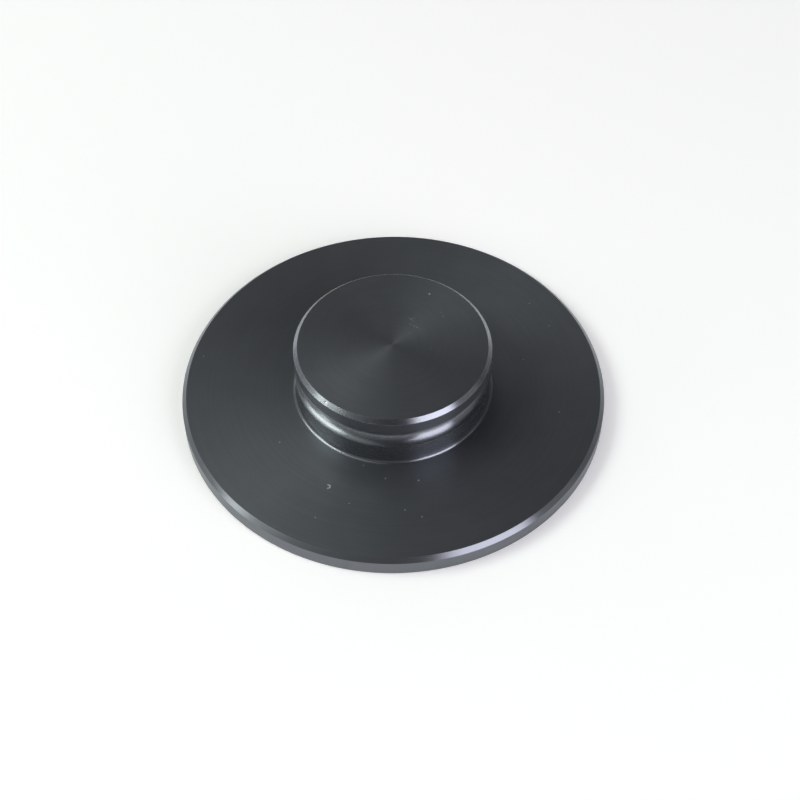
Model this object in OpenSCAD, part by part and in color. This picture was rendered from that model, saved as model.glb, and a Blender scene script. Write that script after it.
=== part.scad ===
// Stabilizer for a compact disc on a top loading player.
// One lathe turned piece of black anodised aluminium: a flat disc with a central finger knob.
// Millimetres. The origin is the middle of the resting face, and +Z is the turning axis.

/* [Disc] */
// Outside diameter of the flat disc
disc_d = 80; // [60:1:120]
// Thickness of the disc
disc_t = 4; // [3:0.1:8]
// Width and drop of the 45 degree chamfer round the upper rim
rim_chamfer = 0.8; // [0.3:0.1:1.5]
// Width and rise of the edge break round the lower rim
rim_break = 0.3; // [0.1:0.1:0.8]

/* [Knob] */
// Outside diameter of the finger knob
knob_d = 36.8; // [30:0.1:50]
// Width and drop of the 45 degree chamfer round the top of the knob
knob_chamfer = 0.75; // [0.3:0.05:1.5]
// Height of the straight band between the chamfer and the finger groove
upper_band = 2.35; // [0.5:0.05:6]
// Height of the band between the disc and the finger groove
lower_band = 4.6; // [1.5:0.1:10]
// Radius of the hollow corner where the knob meets the disc
root_fillet = 0.6; // [0.2:0.1:1.2]

/* [Finger groove] */
// Height of the mouth of the hollow groove that the fingertips close on
groove_w = 4; // [2:0.1:6]
// Depth of the groove, less than half its height, so that its lips stay open
groove_depth = 1.6; // [0.5:0.1:2]

/* [Spindle socket] */
// Diameter of the blind socket that drops over the player's spindle nose
socket_d = 15.6; // [10:0.1:22]
// Depth of the socket above the resting face
socket_depth = 7; // [3:0.1:12]
// Width and depth of the lead-in chamfer at the mouth of the socket
socket_lead = 0.5; // [0.2:0.1:1.5]

/* [Resting face] */
// Outside diameter of the inner land, which presses on the hub area of a compact disc
inner_land_d = 34; // [28:0.5:50]
// Radial width of the outer land under the rim
outer_land_w = 3; // [1:0.5:6]
// Depth of the shallow relief between the two lands
relief_depth = 0.4; // [0.2:0.1:1.5]

/* [Hidden] */
$fn = 180;

disc_r = disc_d / 2;
knob_r = knob_d / 2;
socket_r = socket_d / 2;

// The knob is a stack of heights on the disc: lower band, groove, upper band, chamfer
groove_z = disc_t + lower_band + groove_w / 2;
total_h = groove_z + groove_w / 2 + upper_band + knob_chamfer;

// Radius of the round tool whose arc passes through both lips and reaches the groove's depth
groove_r = (groove_w * groove_w / 4 + groove_depth * groove_depth) / (2 * groove_depth);

// The relief runs from the inner land to the outer one, inside the edge break
relief_inner_r = inner_land_d / 2;
relief_outer_r = disc_r - rim_break - outer_land_w;

// Half section of the disc, with its chamfer and its edge break
module disc_section() {
    polygon([
        [0, 0],
        [disc_r - rim_break, 0],
        [disc_r, rim_break],
        [disc_r, disc_t - rim_chamfer],
        [disc_r - rim_chamfer, disc_t],
        [0, disc_t]
    ]);
}

// Half section of the knob, down to the resting face, so that it is one piece with the disc
module knob_section() {
    polygon([
        [0, 0],
        [knob_r, 0],
        [knob_r, total_h - knob_chamfer],
        [knob_r - knob_chamfer, total_h],
        [0, total_h]
    ]);
}

// Hollow quarter round that fills the corner between the knob and the disc
module root_fillet_section() {
    translate([knob_r, disc_t])
        difference() {
            square(root_fillet);
            translate([root_fillet, root_fillet]) circle(root_fillet);
        }
}

// Round cut whose centre lies its own radius out from the floor of the groove
module finger_groove_section() {
    translate([knob_r - groove_depth + groove_r, groove_z]) circle(groove_r);
}

// Blind hole in the resting face. Its 45 degree lead-in carries on below the face, to cut it clean
module spindle_socket_section() {
    polygon([
        [0, -socket_lead],
        [socket_r + 2 * socket_lead, -socket_lead],
        [socket_r, socket_lead],
        [socket_r, socket_depth],
        [0, socket_depth]
    ]);
}

// Shallow ring cut into the resting face between the two lands, as deep below the face as above it
module relief_section() {
    translate([relief_inner_r, -relief_depth])
        square([relief_outer_r - relief_inner_r, 2 * relief_depth]);
}

module stabilizer() {
    color([0.16, 0.17, 0.18])
        rotate_extrude()
            difference() {
                union() {
                    disc_section();
                    knob_section();
                    root_fillet_section();
                }
                finger_groove_section();
                spindle_socket_section();
                relief_section();
            }
}

stabilizer();
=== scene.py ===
"""Looks of a one-piece turned stabilizer for compact discs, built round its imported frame.

The object is one lathe-turned piece of black anodised aluminium: a flat disc with a finger knob.
The scene is in metres and in the frame's own axes, and +Z is the turning axis. The sizes of the
turned body and of its marks are in millimetres, like those of the part's source.
"""

import logging
import math
from dataclasses import dataclass, field
from enum import Enum

import bpy
import numpy as np
from mathutils import Matrix, Vector


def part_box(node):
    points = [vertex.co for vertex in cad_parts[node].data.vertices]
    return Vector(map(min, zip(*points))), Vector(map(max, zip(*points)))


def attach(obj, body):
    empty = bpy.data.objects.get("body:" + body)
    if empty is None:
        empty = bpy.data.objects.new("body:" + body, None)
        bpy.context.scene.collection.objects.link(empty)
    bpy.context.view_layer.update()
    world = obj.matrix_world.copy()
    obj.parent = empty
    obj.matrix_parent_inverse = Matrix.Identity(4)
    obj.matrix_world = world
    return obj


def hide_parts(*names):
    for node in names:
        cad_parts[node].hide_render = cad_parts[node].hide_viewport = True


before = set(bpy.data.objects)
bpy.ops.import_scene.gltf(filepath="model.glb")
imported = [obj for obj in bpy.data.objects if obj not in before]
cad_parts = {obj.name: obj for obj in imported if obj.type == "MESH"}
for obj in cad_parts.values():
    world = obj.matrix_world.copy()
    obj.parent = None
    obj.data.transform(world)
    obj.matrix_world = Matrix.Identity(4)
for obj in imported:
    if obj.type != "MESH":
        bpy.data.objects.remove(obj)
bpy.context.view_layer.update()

MM = 0.001
NODE = "stabilizer"
BODY = "root"
PIECE = "turned_stabilizer"

# Attributes of the surface: the run along the outline in metres, and the cut of the faces
RUN = "turning_run"
# The cut is also set low on the disc's rim as painted shade
CUT = "finish_cut_and_rim_shade"

# Directions in space, and directions in the half section in degrees
UP = (0.0, 0.0, 1.0)
DOWN = (0.0, 0.0, -1.0)
INWARD = 180.0
DOWNWARD = 270.0

WHITE = (1.0, 1.0, 1.0, 1.0)

Colour = tuple[float, float, float, float]
Point = tuple[float, float]
Socket = bpy.types.NodeSocket

# What an input of a shader node can take: a plain value, or the output of another node
Reading = float | tuple[float, ...] | Socket

# A mark on the surface as its two ends and its width, in metres
Span = tuple[np.ndarray, np.ndarray, float]

log = logging.getLogger("stabilizer")


class LampShape(Enum):
    """Outline of a studio lamp's glowing face."""

    WINDOW = "RECTANGLE"
    SOFT_OVAL = "ELLIPSE"


class Cut(Enum):
    """How bright and fine the tool left a face, from 0 on a broad flat to 1 on a chamfer."""

    FLAT = 0.0
    # Painted shade: the rim's side is set below the knob's walls, which darkens it
    SHADED_RIM_SIDE = 0.3
    WALL = 0.42
    # Painted shade: the rim's chamfer is set below the knob's chamfer, which darkens it
    SHADED_RIM_CHAMFER = 0.55
    HOLLOW = 0.62
    LOW_WALL = 0.65
    CHAMFER = 1.0


class Face(Enum):
    """A turned face that can carry a blemish."""

    KNOB_TOP = "knob top"
    KNOB_CHAMFER = "knob chamfer"
    DISC_TOP = "disc top"


class Blemish(Enum):
    """What a small mark on the surface is."""

    DUST = "dust"
    BARE = "bare metal"


@dataclass(frozen=True)
class Corner:
    """A corner of the turned outline, with the radius that its edge is broken to and the cut of
    the run that follows it."""

    r: float
    z: float
    edge: float
    cut: Cut = Cut.FLAT


@dataclass(frozen=True)
class Hollow:
    """A hollow arc of the outline, from one angle to another about its centre, in degrees, with
    its own cut and the cut of the run that follows it."""

    r: float
    z: float
    radius: float
    start: float
    end: float
    steps: int
    cut: Cut
    cut_after: Cut


@dataclass(frozen=True)
class Mark:
    """A speck or a thin line, by its two ends in millimetres as seen from above."""

    kind: Blemish
    face: Face
    start: Point
    end: Point
    width: float


@dataclass(frozen=True)
class MarkPattern:
    """One layer of turning marks: how many lie on a metre of the outline, how many times longer
    each is round the axis, and the octaves of finer noise in it."""

    per_m: float
    stretch: float
    detail: float


def unit(vector: np.ndarray) -> np.ndarray:
    """A vector at length one."""
    return vector / np.linalg.norm(vector)


def spokes(angles: np.ndarray) -> np.ndarray:
    """Rows of (cos a, sin a) for an array of angles in radians."""
    return np.stack((np.cos(angles), np.sin(angles)), 1)


@dataclass
class NodeBench:
    """A short way to lay out shader nodes in one tree."""

    tree: bpy.types.NodeTree

    def node(self, kind: str, **settings: str) -> bpy.types.Node:
        """Adds a node.

        Args:
            kind: the node's type.
            **settings: plain properties to set on it.

        Returns:
            The new node.
        """
        made = self.tree.nodes.new(kind)
        for name, value in settings.items():
            setattr(made, name, value)
        return made

    def put(self, socket: Socket, value: Reading) -> None:
        """Links an output to an input, or writes a plain value on the input.

        Args:
            socket: the input.
            value: the output of another node, or the plain value.
        """
        if isinstance(value, Socket):
            self.tree.links.new(value, socket)
        else:
            socket.default_value = value

    def fed(self, kind: str, values: tuple[Reading, ...], **settings: str) -> bpy.types.Node:
        """Adds a node and fills its first inputs.

        Args:
            kind: the node's type.
            values: what the inputs get, in order.
            **settings: plain properties to set on it.

        Returns:
            The new node.
        """
        made = self.node(kind, **settings)
        for socket, value in zip(made.inputs, values):
            self.put(socket, value)
        return made

    def math(self, operation: str, *values: Reading) -> Socket:
        """One Math node on up to three values."""
        return self.fed("ShaderNodeMath", values, operation=operation).outputs[0]

    def vector(self, operation: str, *values: Reading, output: str = "Vector") -> Socket:
        """One Vector Math node, read at the named output."""
        return self.fed("ShaderNodeVectorMath", values, operation=operation).outputs[output]

    def clamped(self, value: Reading) -> Socket:
        """A value kept between 0 and 1."""
        return self.fed("ShaderNodeClamp", (value,)).outputs[0]

    def scaled(self, direction: tuple[float, ...], amount: Reading) -> Socket:
        """A fixed vector times a value.

        Args:
            direction: the vector.
            amount: what it is multiplied by.

        Returns:
            The socket of the result.
        """
        made = self.fed("ShaderNodeVectorMath", (direction,), operation="SCALE")
        self.put(made.inputs["Scale"], amount)
        return made.outputs[0]

    def remap(
        self, value: Reading, low: float, high: float, to_low: float, to_high: float
    ) -> Socket:
        """A smooth, clamped change of range.

        Args:
            value: what is read.
            low: the reading that gives to_low.
            high: the reading that gives to_high.
            to_low: result at low.
            to_high: result at high.

        Returns:
            The socket of the result.
        """
        values = (value, low, high, to_low, to_high)
        made = self.fed("ShaderNodeMapRange", values, interpolation_type="SMOOTHSTEP")
        return made.outputs["Result"]

    def noise(self, place: Reading, scale: float, detail: float) -> Socket:
        """Smooth noise.

        Args:
            place: where it is read.
            scale: features to a unit of that place.
            detail: octaves of finer noise.

        Returns:
            The socket of the noise, from 0 to 1.
        """
        made = self.node("ShaderNodeTexNoise")
        self.put(made.inputs["Vector"], place)
        made.inputs["Scale"].default_value = scale
        made.inputs["Detail"].default_value = detail
        return made.outputs["Fac"]

    def blend(self, share: Reading, first: Reading, second: Reading) -> Socket:
        """A colour between two others.

        Args:
            share: how much of the second colour there is, from 0 to 1.
            first: the colour at 0.
            second: the colour at 1.

        Returns:
            The socket of the colour.
        """
        made = self.node("ShaderNodeMix", data_type="RGBA")
        self.put(made.inputs["Factor"], share)
        colours = [socket for socket in made.inputs if socket.type == "RGBA"]
        for socket, value in zip(colours, (first, second)):
            self.put(socket, value)
        return next(socket for socket in made.outputs if socket.type == "RGBA")


@dataclass(frozen=True)
class TurnedAnodised:
    """Black anodised aluminium over fine turning marks.

    The marks run round the axis, so the sheen spreads across them: a flat face shows a bright
    bow tie, and an edge shows a light that is sharp at its sides and soft up and down. A face
    with a finer cut is paler, smoother and more of a mirror. Lengths are in millimetres.
    """

    name: str = "black_anodised_turned"

    # The metal on a flat, where it is a little worn, and on the finest cut
    metal: Colour = (0.110, 0.118, 0.131, 1.0)
    worn: Colour = (0.121, 0.130, 0.144, 1.0)
    fine_cut_metal: Colour = (0.243, 0.259, 0.285, 1.0)
    cloud_share: float = 0.5
    worn_between: tuple[float, float] = (0.3, 0.7)
    clouds_per_m: float = 160.0
    cloud_detail: float = 3.0

    # How much of a flat mirrors the room as metal does, while the rest scatters light
    metal_share: float = 0.76

    # The roughness of a flat and of a fine cut, the cut that has all of the change, and how far
    # the roughness wanders as the noise goes between two readings
    roughness: float = 0.344
    fine_cut_roughness: float = 0.272
    fine_from: float = 0.7
    satin_swing: float = 0.008
    satin_between: tuple[float, float] = (0.6, 1.4)

    # How far the sheen spreads across the marks, and the turn that lays it across them
    across_marks: float = 0.72
    quarter_turn: float = 0.25

    # The layers of marks, and the circle that stands for the angle, so that they close on
    # themselves
    broad: MarkPattern = MarkPattern(1900.0, 40.0, 2.0)
    fine: MarkPattern = MarkPattern(7000.0, 120.0, 1.0)
    fleck: MarkPattern = MarkPattern(5200.0, 9.0, 1.0)
    fleck_between: tuple[float, float] = (0.62, 0.8)
    ring_radius: float = 20.0

    # The depth of a broad mark, the heights of the other layers as multiples of it, and how
    # little is left of them all from a certain cut on
    mark_depth: float = 0.00045
    fine_height: float = 0.25
    fleck_height: float = 12.0
    smooth_from: float = 0.6
    marks_left: float = 0.04

    # Dust and bare metal, with ragged edges that fade over a share of the mark's width
    dust_colour: Colour = (0.34, 0.35, 0.36, 1.0)
    dust_roughness: float = 0.7
    bare_colour: Colour = (0.75, 0.76, 0.78, 1.0)
    ragged_per_m: float = 9000.0
    ragged_detail: float = 1.0
    ragged_edge: float = 0.12
    fade_inside: float = 1 / 6
    fade_outside: float = 1 / 8

    def ring_place(self, bench: NodeBench, round_axis: Socket) -> Socket:
        """The place on the turned surface as a vector: the run along the outline, then a point
        on a circle of ring_radius in place of the angle.

        Args:
            bench: the node tree's bench.
            round_axis: the direction round the axis.

        Returns:
            The socket of the place.
        """
        split = bench.fed("ShaderNodeSeparateXYZ", (round_axis,))
        run = bench.node("ShaderNodeAttribute", attribute_name=RUN).outputs["Fac"]
        radius = self.ring_radius * MM
        circle = tuple(bench.math("MULTIPLY", split.outputs[axis], radius) for axis in "XY")
        return bench.fed("ShaderNodeCombineXYZ", (run, *circle)).outputs[0]

    def ring_noise(self, bench: NodeBench, ring: Socket, pattern: MarkPattern) -> Socket:
        """Noise that is fine along the outline and long round the axis.

        Args:
            bench: the node tree's bench.
            ring: the ring place from ring_place.
            pattern: the layer of marks.

        Returns:
            The socket of the noise, from 0 to 1.
        """
        along = pattern.per_m / pattern.stretch
        stretched = bench.vector("MULTIPLY", ring, (pattern.per_m, along, along))
        return bench.noise(stretched, 1.0, pattern.detail)

    def distance(
        self, bench: NodeBench, place: Socket, start: np.ndarray, end: np.ndarray
    ) -> Socket:
        """How far a point is from a straight line between two ends: the offset from the first
        end, less the line times the share of it, from 0 to 1, that lies nearest.

        Args:
            bench: the node tree's bench.
            place: the Object coordinates.
            start: the first end.
            end: the other end, which is the same point for a round speck.

        Returns:
            The socket of the distance.
        """
        offset = bench.vector("SUBTRACT", place, tuple(start))
        line = end - start
        if line.any():
            per_line = tuple(line / line.dot(line))
            along = bench.vector("DOT_PRODUCT", offset, per_line, output="Value")
            nearest = bench.scaled(tuple(line), bench.clamped(along))
            offset = bench.vector("SUBTRACT", offset, nearest)
        return bench.vector("LENGTH", offset, output="Value")

    def covered(self, bench: NodeBench, place: Socket, marks: list[Span]) -> Reading:
        """How much of a point lies under a mark. The distance to each mark's middle line, made
        ragged by a fine noise, is compared with half its width, and the largest share counts.

        Args:
            bench: the node tree's bench.
            place: the Object coordinates.
            marks: the marks.

        Returns:
            The share, from 0 to 1.
        """
        share: Reading = 0.0
        noise = bench.noise(place, self.ragged_per_m, self.ragged_detail)
        ragged = bench.math("MULTIPLY", noise, self.ragged_edge * MM)
        for start, end, width in marks:
            away = bench.math("ADD", self.distance(bench, place, start, end), ragged)
            edge = width / 2 + self.ragged_edge / 2 * MM
            inner = edge - width * self.fade_inside
            outer = edge + width * self.fade_outside
            share = bench.math("MAXIMUM", share, bench.remap(away, inner, outer, 1.0, 0.0))
        return share

    def colour(self, bench: NodeBench, tone: Socket, cut: Socket, bare: Reading) -> Socket:
        """The colour of the metal: a little worn in patches, and paler with the cut.

        Args:
            bench: the node tree's bench.
            tone: the noise of the patches.
            cut: the cut of the face.
            bare: how much of the point is bare metal.

        Returns:
            The socket of the colour.
        """
        wear = bench.remap(tone, *self.worn_between, 0.0, 1.0)
        flat = bench.blend(wear, self.metal, self.worn)
        return bench.blend(bare, bench.blend(cut, flat, self.fine_cut_metal), self.bare_colour)

    def metallic(self, bench: NodeBench, cut: Socket, dusty: Reading) -> Socket:
        """The share of the surface that is metal: more with the cut, and none under dust.

        Args:
            bench: the node tree's bench.
            cut: the cut of the face.
            dusty: how much of the point lies under dust.

        Returns:
            The socket of the share.
        """
        more = bench.math("MULTIPLY", cut, 1.0 - self.metal_share)
        share = bench.math("ADD", more, self.metal_share)
        return bench.math("MULTIPLY", share, bench.math("SUBTRACT", 1.0, dusty))

    def satin(self, bench: NodeBench, noise: Socket, cut: Socket, dusty: Reading) -> Socket:
        """The roughness: that of a flat, which wanders a little, less with the cut and more
        under dust.

        Args:
            bench: the node tree's bench.
            noise: what it wanders with.
            cut: the cut of the face.
            dusty: how much of the point lies under dust.

        Returns:
            The socket of the roughness.
        """
        least = self.roughness - self.satin_swing
        most = self.roughness + self.satin_swing
        flat = bench.remap(noise, *self.satin_between, least, most)
        change = self.fine_cut_roughness - self.roughness
        turned = bench.math("ADD", flat, bench.remap(cut, 0.0, self.fine_from, 0.0, change))
        dust = bench.math("MULTIPLY", dusty, self.dust_roughness - self.roughness)
        return bench.math("ADD", turned, dust)

    def relief(
        self, bench: NodeBench, broad: Socket, fine: Socket, fleck: Socket, cut: Socket
    ) -> Socket:
        """The turning marks as a bump: the three layers added up, and shallower with the cut.

        Args:
            bench: the node tree's bench.
            broad: the layer of broad marks.
            fine: the layer of fine marks.
            fleck: the layer of short, deep marks.
            cut: the cut of the face.

        Returns:
            The socket of the bent normal.
        """
        deep = bench.remap(fleck, *self.fleck_between, 0.0, 1.0)
        marks = bench.math("ADD", broad, bench.math("MULTIPLY", fine, self.fine_height))
        marks = bench.math("ADD", marks, bench.math("MULTIPLY", deep, self.fleck_height))
        shallower = bench.remap(cut, 0.0, self.smooth_from, 1.0, self.marks_left)
        bump = bench.node("ShaderNodeBump")
        bump.inputs["Distance"].default_value = self.mark_depth * MM
        bench.put(bump.inputs["Height"], bench.math("MULTIPLY", marks, shallower))
        return bump.outputs[0]

    def build(self, dust: list[Span], bare: list[Span]) -> bpy.types.Material:
        """Makes the material.

        Args:
            dust: the specks of dust.
            bare: the spots and scratches of bare metal.

        Returns:
            The material.
        """
        made = bpy.data.materials.new(self.name)
        made.use_nodes = True
        bench = NodeBench(made.node_tree)
        shader = made.node_tree.nodes["Principled BSDF"]
        place = bench.node("ShaderNodeTexCoord").outputs["Object"]
        round_axis = bench.vector("NORMALIZE", bench.vector("CROSS_PRODUCT", UP, place))
        ring = self.ring_place(bench, round_axis)
        broad = self.ring_noise(bench, ring, self.broad)
        fine = self.ring_noise(bench, ring, self.fine)
        fleck = self.ring_noise(bench, ring, self.fleck)
        cloud = bench.noise(place, self.clouds_per_m, self.cloud_detail)
        # The cut also carries painted shade: it is set low on the disc's rim, which darkens the
        # metal there
        cut = bench.node("ShaderNodeAttribute", attribute_name=CUT).outputs["Fac"]
        dusty = self.covered(bench, place, dust)

        marked = bench.math("MULTIPLY", broad, 1.0 - self.cloud_share)
        clouded = bench.math("MULTIPLY", cloud, self.cloud_share)
        tone = bench.math("ADD", marked, clouded)
        metal = self.colour(bench, tone, cut, self.covered(bench, place, bare))
        bench.put(shader.inputs["Base Color"], bench.blend(dusty, metal, self.dust_colour))
        bench.put(shader.inputs["Metallic"], self.metallic(bench, cut, dusty))
        satin = self.satin(bench, bench.math("ADD", fine, cloud), cut, dusty)
        bench.put(shader.inputs["Roughness"], satin)
        shader.inputs["Anisotropic"].default_value = self.across_marks
        shader.inputs["Anisotropic Rotation"].default_value = self.quarter_turn
        bench.put(shader.inputs["Tangent"], round_axis)
        bench.put(shader.inputs["Normal"], self.relief(bench, broad, fine, fleck, cut))
        return made


@dataclass
class TurnedBody:
    """The disc and knob as one turned surface, with its edges broken to small radii.

    The sizes are those of the part's source, in millimetres. The disc's radius and the whole
    height come from the frame.
    """

    disc_t: float = 4.0
    rim_chamfer: float = 0.8
    rim_break: float = 0.3
    knob_r: float = 18.4
    knob_chamfer: float = 0.75
    lower_band: float = 4.6
    root_fillet: float = 0.6
    groove_w: float = 4.0
    groove_depth: float = 1.6
    socket_r: float = 7.8
    socket_depth: float = 7.0
    socket_lead: float = 0.5
    inner_land_r: float = 17.0
    outer_land_w: float = 3.0
    relief_depth: float = 0.4

    # Radii of the broken edges, of the groove's lips and of the corners that a tool leaves
    fine_edge: float = 0.07
    lip_edge: float = 0.01
    tool_corner: float = 0.2

    # Points on an arc of each kind, and round the axis
    edge_steps: int = 5
    groove_steps: int = 30
    fillet_steps: int = 11
    steps_round: int = 600

    # A run longer than short_run has least_steps, or more so that none is over ring_gap
    short_run: float = 0.4
    least_steps: int = 4
    ring_gap: float = 3.5

    # The nick in the knob's chamfer: its place in degrees from +X, its depth and its reach
    nick_angle: float = -132.0
    nick_depth: float = 0.03
    nick_size: float = 0.22

    disc_r: float = field(init=False)
    total_h: float = field(init=False)

    def __post_init__(self) -> None:
        """Takes the outer sizes from the frame."""
        low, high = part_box(NODE)
        self.disc_r = (high.x - low.x) / 2 / MM
        self.total_h = high.z / MM

    def outline(self) -> list[Corner | Hollow]:
        """The half section from the top of the axis, down the outside, to the roof of the socket.

        The groove's arc passes through both lips and reaches its depth. Its ends give way to the
        broken lips, by the radius of the break times the tangent of half the turn.

        Returns:
            The corners and hollows in order, in millimetres.
        """
        half_w = self.groove_w / 2
        groove_z = self.disc_t + self.lower_band + half_w
        groove_r = (half_w**2 + self.groove_depth**2) / (2 * self.groove_depth)
        groove_centre = self.knob_r - self.groove_depth + groove_r
        half_arc = math.atan2(half_w, groove_centre - self.knob_r)
        opening = math.degrees(half_arc - self.lip_edge * math.tan(half_arc / 2) / groove_r)
        relief_r = self.disc_r - self.rim_break - self.outer_land_w
        knob, disc, top = self.knob_r, self.disc_r, self.total_h
        edge, lip, tool = self.fine_edge, self.lip_edge, self.tool_corner
        groove = Hollow(
            r=groove_centre,
            z=groove_z,
            radius=groove_r,
            start=INWARD - opening,
            end=INWARD + opening,
            steps=self.groove_steps,
            cut=Cut.HOLLOW,
            cut_after=Cut.LOW_WALL,
        )
        foot = Hollow(
            r=knob + self.root_fillet,
            z=self.disc_t + self.root_fillet,
            radius=self.root_fillet,
            start=INWARD,
            end=DOWNWARD,
            steps=self.fillet_steps,
            cut=Cut.HOLLOW,
            cut_after=Cut.FLAT,
        )
        return [
            Corner(0.0, top, 0.0),
            Corner(knob - self.knob_chamfer, top, edge, Cut.CHAMFER),
            Corner(knob, top - self.knob_chamfer, edge, Cut.WALL),
            Corner(knob, groove_z + half_w, lip, Cut.WALL),
            groove,
            Corner(knob, groove_z - half_w, lip, Cut.LOW_WALL),
            foot,
            # The rim's chamfer and side get lower cuts than the knob's faces: painted shade that
            # darkens the disc's rim
            Corner(disc - self.rim_chamfer, self.disc_t, edge, Cut.SHADED_RIM_CHAMFER),
            Corner(disc, self.disc_t - self.rim_chamfer, edge, Cut.SHADED_RIM_SIDE),
            Corner(disc, self.rim_break, edge, Cut.SHADED_RIM_SIDE),
            Corner(disc - self.rim_break, 0.0, edge),
            Corner(relief_r, 0.0, edge),
            Corner(relief_r, self.relief_depth, tool),
            Corner(self.inner_land_r, self.relief_depth, tool),
            Corner(self.inner_land_r, 0.0, edge),
            Corner(self.socket_r + self.socket_lead, 0.0, edge),
            Corner(self.socket_r, self.socket_lead, edge),
            Corner(self.socket_r, self.socket_depth, tool),
            Corner(0.0, self.socket_depth, 0.0),
        ]

    def ends(self, piece: Corner | Hollow) -> tuple:
        """First point, last point, first direction and last direction of a piece of outline.
        An arc's direction at an angle a is (-sin a, cos a).

        Args:
            piece: the corner or the arc.

        Returns:
            Two points as arrays of (r, z), and two unit directions, or None for a corner's.
        """
        if isinstance(piece, Corner):
            point = np.array((piece.r, piece.z))
            return point, point, None, None
        out = spokes(np.radians((piece.start, piece.end)))
        points = np.array((piece.r, piece.z)) + piece.radius * out
        headings = np.stack((-out[:, 1], out[:, 0]), 1)
        return points[0], points[1], headings[0], headings[1]

    def broken_corner(
        self, before: Corner | Hollow, piece: Corner, after: Corner | Hollow
    ) -> tuple[np.ndarray, np.ndarray]:
        """Breaks a corner to an arc that touches both of its sides: the arc starts its radius
        times the tangent of half the turn before the corner, and its normal turns evenly.

        Args:
            before: the piece of outline before the corner.
            piece: the corner.
            after: the piece of outline after it.

        Returns:
            Arrays of (r, z) points and of (r, z) outward normals.
        """
        here = np.array((piece.r, piece.z))
        _, last, _, heading_in = self.ends(before)
        first, _, heading_out, _ = self.ends(after)
        into = unit(here - last) if heading_in is None else heading_in
        out = unit(first - here) if heading_out is None else heading_out
        turn = math.atan2(into[0] * out[1] - into[1] * out[0], into.dot(out))
        side = 1.0 if turn < 0 else -1.0
        heading = math.atan2(into[1], into[0])
        facing = spokes(np.linspace(0.0, turn, self.edge_steps) + heading + math.pi / 2)
        start = here - piece.edge * math.tan(abs(turn) / 2) * into
        centre = start - side * piece.edge * facing[0]
        return centre + side * piece.edge * facing, facing

    def hollow_arc(self, piece: Hollow) -> tuple[np.ndarray, np.ndarray]:
        """Samples a hollow arc: a point is its centre plus its radius times (cos a, sin a), and
        the surface faces the centre.

        Args:
            piece: the arc.

        Returns:
            Arrays of (r, z) points and of (r, z) outward normals.
        """
        out = spokes(np.radians(np.linspace(piece.start, piece.end, piece.steps)))
        return np.array((piece.r, piece.z)) + piece.radius * out, -out

    def profile(self) -> np.ndarray:
        """Samples the whole outline.

        Returns:
            Rows of (r, z, outward r, outward z, cut), in millimetres.
        """
        pieces = self.outline()
        top, roof = pieces[0], pieces[-1]
        rows = [np.array(((top.r, top.z, 0.0, 1.0, top.cut.value),))]
        cut_before = top.cut.value
        for before, piece, after in zip(pieces, pieces[1:], pieces[2:]):
            if isinstance(piece, Hollow):
                points, facing = self.hollow_arc(piece)
                cuts = np.full(piece.steps, piece.cut.value)
                cuts[-1] = piece.cut_after.value
            else:
                points, facing = self.broken_corner(before, piece, after)
                cuts = np.linspace(cut_before, piece.cut.value, self.edge_steps)
            cut_before = cuts[-1]
            rows.append(np.column_stack((points, facing, cuts)))
        rows.append(np.array(((roof.r, roof.z, 0.0, -1.0, roof.cut.value),)))
        return self.with_rings(np.concatenate(rows))

    def with_rings(self, rows: np.ndarray) -> np.ndarray:
        """Splits each long run into equal steps: a row between two others is the first times
        one less the share of the way, plus the second times that share.

        Args:
            rows: the rows of the outline.

        Returns:
            The rows with the extra ones between them.
        """
        lengths = np.linalg.norm(np.diff(rows[:, :2], axis=0), axis=1)
        wanted = np.maximum(self.least_steps, np.ceil(lengths / self.ring_gap))
        parts = np.where(lengths > self.short_run, wanted, 1).astype(int)
        starts = np.repeat(np.arange(len(parts)), parts)
        step = np.arange(len(starts)) - np.repeat(np.cumsum(parts) - parts, parts)
        share = (step / np.repeat(parts, parts))[:, None]
        dense = rows[starts] * (1 - share) + rows[starts + 1] * share
        dense[:, 2:4] /= np.linalg.norm(dense[:, 2:4], axis=1)[:, None]
        return np.vstack((dense, rows[-1:]))

    def turned(self, pairs: np.ndarray) -> np.ndarray:
        """Turns pairs about the axis: (r, z) at angle a becomes (r cos a, r sin a, z).

        Args:
            pairs: rows of (r, z).

        Returns:
            A grid of points, with a row for each pair and a column for each angle.
        """
        angles = np.arange(self.steps_round) * (2 * math.pi / self.steps_round)
        grid = np.empty((len(pairs), self.steps_round, 3))
        grid[..., :2] = pairs[:, None, :1] * spokes(angles)[None]
        grid[..., 2] = pairs[:, 1:]
        return grid

    def faces(self, rings: int) -> list[list[int]]:
        """The faces between the rings: four-sided walls, and a fan round each end of the axis.
        The top of the axis is the first point, and the roof of the socket the last.

        Args:
            rings: how many rings there are between those two.

        Returns:
            The faces, by the numbers of their points.
        """
        index = 1 + np.arange(rings * self.steps_round).reshape(rings, self.steps_round)
        ahead = np.roll(index, -1, 1)
        walls = np.stack((index[:-1], index[1:], ahead[1:], ahead[:-1]), -1).reshape(-1, 4)
        cap = np.stack((np.zeros_like(index[0]), index[0], ahead[0]), -1)
        roof = np.stack((np.full_like(index[-1], index.max() + 1), ahead[-1], index[-1]), -1)
        return walls.tolist() + cap.tolist() + roof.tolist()

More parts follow.
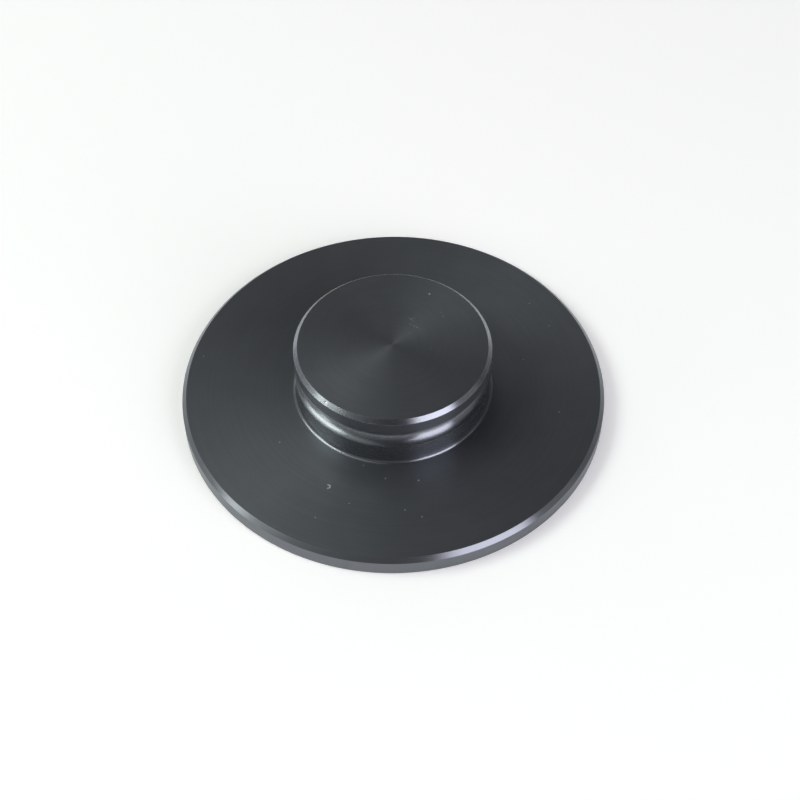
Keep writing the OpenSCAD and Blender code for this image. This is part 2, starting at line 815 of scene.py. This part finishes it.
    def nicked(self, grid: np.ndarray, out: np.ndarray) -> tuple[np.ndarray, np.ndarray]:
        """Presses the small nick into the chamfer of the knob: the surface sinks by a bell curve
        of the distance to the nick, and the normal leans by the slope of that curve.

        Args:
            grid: the surface points, in metres.
            out: their outward normals.

        Returns:
            The dented points and the leaned normals.
        """
        angle = math.radians(self.nick_angle)
        radius = (self.knob_r - self.knob_chamfer / 2) * MM
        height = (self.total_h - self.knob_chamfer / 2) * MM
        centre = np.array((radius * math.cos(angle), radius * math.sin(angle), height))
        size, depth = self.nick_size * MM, self.nick_depth * MM
        offset = grid - centre
        bell = depth * np.exp(-(offset**2).sum(-1, keepdims=True) / (2 * size**2))
        slope = offset * bell / size**2
        slope -= (slope * out).sum(-1, keepdims=True) * out
        leaned = out - slope
        leaned /= np.linalg.norm(leaned, axis=-1, keepdims=True)
        return grid - bell * out, leaned

    def build(self) -> bpy.types.Object:
        """Turns the profile into the piece.

        Returns:
            The new piece, with smooth normals, and the run along its outline and the cut of its
            faces as attributes.
        """
        rows = self.profile()
        flat = np.maximum(rows[:, :2], 0.0) * MM
        run = np.concatenate(([0.0], np.cumsum(np.linalg.norm(np.diff(flat, axis=0), axis=1))))
        grid, out = self.nicked(self.turned(flat[1:-1]), self.turned(rows[1:-1, 2:4]))
        top, roof = (0.0, 0.0, flat[0, 1]), (0.0, 0.0, flat[-1, 1])
        places = np.vstack((top, grid.reshape(-1, 3), roof))
        directions = np.vstack((UP, out.reshape(-1, 3), DOWN))

        mesh = bpy.data.meshes.new(PIECE)
        mesh.from_pydata(places.tolist(), [], self.faces(len(grid)))
        mesh.polygons.foreach_set("use_smooth", np.ones(len(mesh.polygons), bool))
        for name, values in ((RUN, run), (CUT, rows[:, 4])):
            rings = np.repeat(values[1:-1], self.steps_round)
            spread = np.concatenate((values[:1], rings, values[-1:])).astype(np.float32)
            mesh.attributes.new(name, "FLOAT", "POINT").data.foreach_set("value", spread)
        mesh.normals_split_custom_set_from_vertices(directions.tolist())
        mesh.update()
        piece = bpy.data.objects.new(PIECE, mesh)
        bpy.context.scene.collection.objects.link(piece)
        return piece

    def lifted(self, face: Face, point: Point) -> np.ndarray:
        """Lifts a place as seen from above onto a face. The knob's chamfer falls as far as it
        reaches out.

        Args:
            face: the face.
            point: the place in millimetres.

        Returns:
            The point in metres.
        """
        fall = math.hypot(*point) - (self.knob_r - self.knob_chamfer)
        heights = {
            Face.KNOB_TOP: self.total_h,
            Face.KNOB_CHAMFER: self.total_h - fall,
            Face.DISC_TOP: self.disc_t,
        }
        return np.array((*point, heights[face])) * MM

    def placed(self, marks: tuple[Mark, ...], kind: Blemish) -> list[Span]:
        """Lifts the marks of one kind onto their faces.

        Args:
            marks: all the marks.
            kind: which of them are wanted.

        Returns:
            The marks in metres.
        """
        return [
            (self.lifted(mark.face, mark.start), self.lifted(mark.face, mark.end), mark.width * MM)
            for mark in marks
            if mark.kind is kind
        ]

    def dress(
        self, piece: bpy.types.Object, finish: TurnedAnodised, marks: tuple[Mark, ...]
    ) -> None:
        """Gives the piece its finish and marks, and its place in the frame.

        Args:
            piece: the turned piece.
            finish: the finish of the whole piece.
            marks: the small wear and dirt on it.
        """
        dust = self.placed(marks, Blemish.DUST)
        bare = self.placed(marks, Blemish.BARE)
        piece.data.materials.append(finish.build(dust, bare))
        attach(piece, BODY)
        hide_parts(NODE)


def speck(x: float, y: float, width: float, face: Face = Face.DISC_TOP) -> Mark:
    """A round speck of dust."""
    return Mark(Blemish.DUST, face, (x, y), (x, y), width)


def lint(start: Point, end: Point, width: float) -> Mark:
    """A short thread of dust on the disc."""
    return Mark(Blemish.DUST, Face.DISC_TOP, start, end, width)


def scratch(start: Point, end: Point, width: float, face: Face = Face.KNOB_TOP) -> Mark:
    """A line of bare metal."""
    return Mark(Blemish.BARE, face, start, end, width)


# The small wear and dirt that the photograph shows: on the knob, then on the disc
MARKS = (
    speck(7.0, 12.5, 0.35, Face.KNOB_TOP),
    speck(9.2, 7.8, 0.15, Face.KNOB_TOP),
    speck(9.5, 6.9, 0.15, Face.KNOB_TOP),
    speck(7.0, -1.1, 0.15, Face.KNOB_TOP),
    speck(3.2, 2.8, 0.12, Face.KNOB_TOP),
    scratch((3.0, 6.5), (3.9, 5.5), 0.015),
    scratch((3.5, 6.0), (4.0, 6.6), 0.01),
    scratch((3.1, 5.0), (4.5, 4.1), 0.01),
    scratch((4.0, 4.4), (5.9, 3.4), 0.01),
    scratch((-12.0, -13.4), (-11.9, -13.4), 0.2, Face.KNOB_CHAMFER),
    lint((-11.9, -23.3), (-11.5, -23.5), 0.25),
    lint((-11.5, -23.5), (-11.6, -24.0), 0.25),
    lint((-11.6, -24.0), (-12.0, -24.1), 0.2),
    speck(-5.5, -19.0, 0.22),
    speck(-1.5, -22.0, 0.22),
    speck(4.5, -22.5, 0.25),
    speck(-8.0, -27.5, 0.25),
    speck(2.0, -29.0, 0.22),
    speck(5.0, -30.5, 0.22),
    speck(-14.0, -30.5, 0.25),
    speck(27.0, 20.5, 0.22),
    speck(30.5, 14.5, 0.22),
    speck(31.0, -7.0, 0.25),
    speck(-36.5, 7.5, 0.22),
    speck(-21.0, -13.5, 0.25),
    speck(25.0, 6.0, 0.2),
)


@dataclass(frozen=True)
class Lamp:
    """A flat lamp that faces the object. Its place and its size are angles in degrees, as seen
    from the object, and its azimuth counts from the camera to the right. Its glow is the
    brightness of its face, where 1 is white, and away is its distance in metres."""

    name: str
    shape: LampShape
    azimuth: float
    elevation: float
    wide: float
    tall: float
    glow: float
    colour: tuple[float, float, float]
    away: float = 0.9

    def hang(self) -> None:
        """Hangs the lamp. Its power is its glow times its area times pi, and an oval fills a
        quarter of pi of the rectangle round it."""
        data = bpy.data.lights.new(self.name, "AREA")
        data.shape = self.shape.value
        data.size = 2 * self.away * math.tan(math.radians(self.wide / 2))
        data.size_y = 2 * self.away * math.tan(math.radians(self.tall / 2))
        filled = 1.0 if self.shape is LampShape.WINDOW else math.pi / 4
        data.energy = self.glow * math.pi * data.size * data.size_y * filled
        data.color = self.colour
        around, up = math.radians(self.azimuth), math.radians(self.elevation)
        level = math.cos(up)
        back = Vector((math.sin(around) * level, -math.cos(around) * level, math.sin(up)))
        piece = bpy.data.objects.new(self.name, data)
        piece.location = back * self.away
        piece.rotation_euler = (-back).to_track_quat("-Z", "Y").to_euler()
        bpy.context.scene.collection.objects.link(piece)


WARM_SIDE = (0.99, 1.04, 0.97)
COOL_SIDE = (0.99, 0.96, 1.05)
PLAIN = (1.0, 1.0, 1.0)

# A soft window to the left, a sharp one to the right, the glow of the walls round them, and two
# low lights behind the object for its far edges
LAMPS = (
    Lamp("left_wall_glow", LampShape.SOFT_OVAL, -105.0, 67.0, 72.0, 40.0, 0.62, WARM_SIDE, 1.4),
    Lamp("left_window", LampShape.SOFT_OVAL, -86.0, 45.0, 38.0, 25.0, 5.5, WARM_SIDE),
    Lamp("left_low_window", LampShape.SOFT_OVAL, -75.5, 17.0, 13.5, 11.5, 4.5, WARM_SIDE),
    Lamp("right_window_foot", LampShape.WINDOW, 43.4, 8.5, 35.0, 17.0, 3.7, COOL_SIDE),
    Lamp("right_window", LampShape.WINDOW, 43.4, 31.5, 35.0, 29.0, 3.8, COOL_SIDE),
    Lamp("right_window_head", LampShape.WINDOW, 43.4, 50.0, 35.0, 8.0, 1.2, COOL_SIDE),
    Lamp("right_wall_glow", LampShape.SOFT_OVAL, 82.0, 24.0, 26.0, 24.0, 0.35, PLAIN),
    Lamp("back_left_low", LampShape.WINDOW, -139.5, 10.2, 19.0, 20.4, 1.3, PLAIN),
    Lamp("back_right_low", LampShape.WINDOW, 150.0, 7.7, 32.5, 15.3, 1.15, PLAIN),
)


@dataclass(frozen=True)
class Room:
    """The soft surroundings: their brightness by direction, where 1 is white. It goes from that
    of the walls to that overhead as the upward part of the direction's unit vector goes from
    walls_until to overhead_from, and to_right and to_back are added for its other two parts."""

    walls: float = 0.31
    overhead: float = 0.055
    walls_until: float = 0.1
    overhead_from: float = 0.9
    to_right: float = -0.15
    to_back: float = 0.06

    def build(self) -> None:
        """Sets the world: a smooth step from the walls up, and a slope across the room."""
        world = bpy.data.worlds.new("room")
        bpy.context.scene.world = world
        world.use_nodes = True
        bench = NodeBench(world.node_tree)
        direction = bench.node("ShaderNodeTexCoord").outputs["Generated"]
        height = bench.fed("ShaderNodeSeparateXYZ", (direction,)).outputs["Z"]
        span = (self.walls_until, self.overhead_from)
        upward = bench.remap(height, *span, self.walls, self.overhead)
        across = (self.to_right, self.to_back, 0.0)
        slope = bench.vector("DOT_PRODUCT", direction, across, output="Value")
        brightness = bench.math("MAXIMUM", bench.math("ADD", upward, slope), 0.0)
        background = world.node_tree.nodes["Background"]
        background.inputs["Color"].default_value = WHITE
        bench.put(background.inputs["Strength"], brightness)


@dataclass(frozen=True)
class PaleFloor:
    """The floor's plain finish. It is lifted a little towards white where it is looked at,
    straight, in a reflection or through glass, and it lights nothing by that."""

    name: str = "pale_floor"
    colour: Colour = (0.92, 0.92, 0.92, 1.0)
    roughness: float = 0.8
    shine: float = 0.1
    lift: float = 0.25

    def build(self) -> bpy.types.Material:
        """Makes the material.

        Returns:
            The material.
        """
        made = bpy.data.materials.new(self.name)
        made.use_nodes = True
        shader = made.node_tree.nodes["Principled BSDF"]
        shader.inputs["Base Color"].default_value = self.colour
        shader.inputs["Roughness"].default_value = self.roughness
        shader.inputs["Specular IOR Level"].default_value = self.shine
        bench = NodeBench(made.node_tree)
        seen = bench.node("ShaderNodeLightPath").outputs
        share = bench.math("MAXIMUM", seen["Is Camera Ray"], seen["Is Glossy Ray"])
        share = bench.math("MAXIMUM", share, seen["Is Transmission Ray"])
        shader.inputs["Emission Color"].default_value = WHITE
        bench.put(shader.inputs["Emission Strength"], bench.math("MULTIPLY", share, self.lift))
        return made


@dataclass(frozen=True)
class Studio:
    """The pale floor, the lamps, the room and the camera. The floor and the camera's clipping
    are in metres, the camera's distance, aim and lens in millimetres, and its angles in
    degrees."""

    floor_half: float = 4.0
    distance: float = 310.4
    elevation: float = 51.1
    roll: float = -0.515
    aim_x: float = 1.27
    aim_y: float = -3.76
    lens: float = 74.15
    nearest: float = 0.01
    farthest: float = 20.0
    finish: PaleFloor = PaleFloor()
    room: Room = Room()
    lamps: tuple[Lamp, ...] = LAMPS

    def floor(self) -> None:
        """Lays a wide level sheet under the object."""
        half = self.floor_half
        corners = [(-half, -half, 0), (half, -half, 0), (half, half, 0), (-half, half, 0)]
        mesh = bpy.data.meshes.new("floor")
        mesh.from_pydata(corners, [], [range(len(corners))])
        mesh.materials.append(self.finish.build())
        piece = bpy.data.objects.new("floor", mesh)
        bpy.context.scene.collection.objects.link(piece)

    def camera(self, face_z: float) -> None:
        """Sets the camera at the photograph's angle.

        Args:
            face_z: height of the disc's upper face, which the camera is aimed at.
        """
        up = math.radians(self.elevation)
        back = Vector((0, -math.cos(up), math.sin(up)))
        aim = Vector((self.aim_x * MM, self.aim_y * MM, face_z))
        data = bpy.data.cameras.new("camera")
        data.lens = self.lens
        data.clip_start = self.nearest
        data.clip_end = self.farthest
        piece = bpy.data.objects.new("camera", data)
        turn = (-back).to_track_quat("-Z", "Y").to_matrix().to_4x4()
        tilt = Matrix.Rotation(math.radians(self.roll), 4, "Z")
        piece.matrix_world = Matrix.Translation(aim + back * self.distance * MM) @ turn @ tilt
        bpy.context.scene.collection.objects.link(piece)
        bpy.context.scene.camera = piece

    def build(self, face_z: float) -> None:
        """Sets up the whole studio round the object.

        Args:
            face_z: height of the disc's upper face.
        """
        self.floor()
        self.room.build()
        for lamp in self.lamps:
            lamp.hang()
        self.camera(face_z)
        bpy.context.scene.view_settings.view_transform = "Standard"
        log.info("studio: %d lamps", len(self.lamps))


def main() -> None:
    """Builds the piece, dresses it, sets up the studio and reports each step."""
    logging.basicConfig(level=logging.INFO, format="%(name)s: %(message)s")
    body = TurnedBody()
    piece = body.build()
    body.dress(piece, TurnedAnodised(), MARKS)
    log.info("%s: %d faces", piece.name, len(piece.data.polygons))
    Studio().build(body.disc_t * MM)


if __name__ == "__main__":
    main()
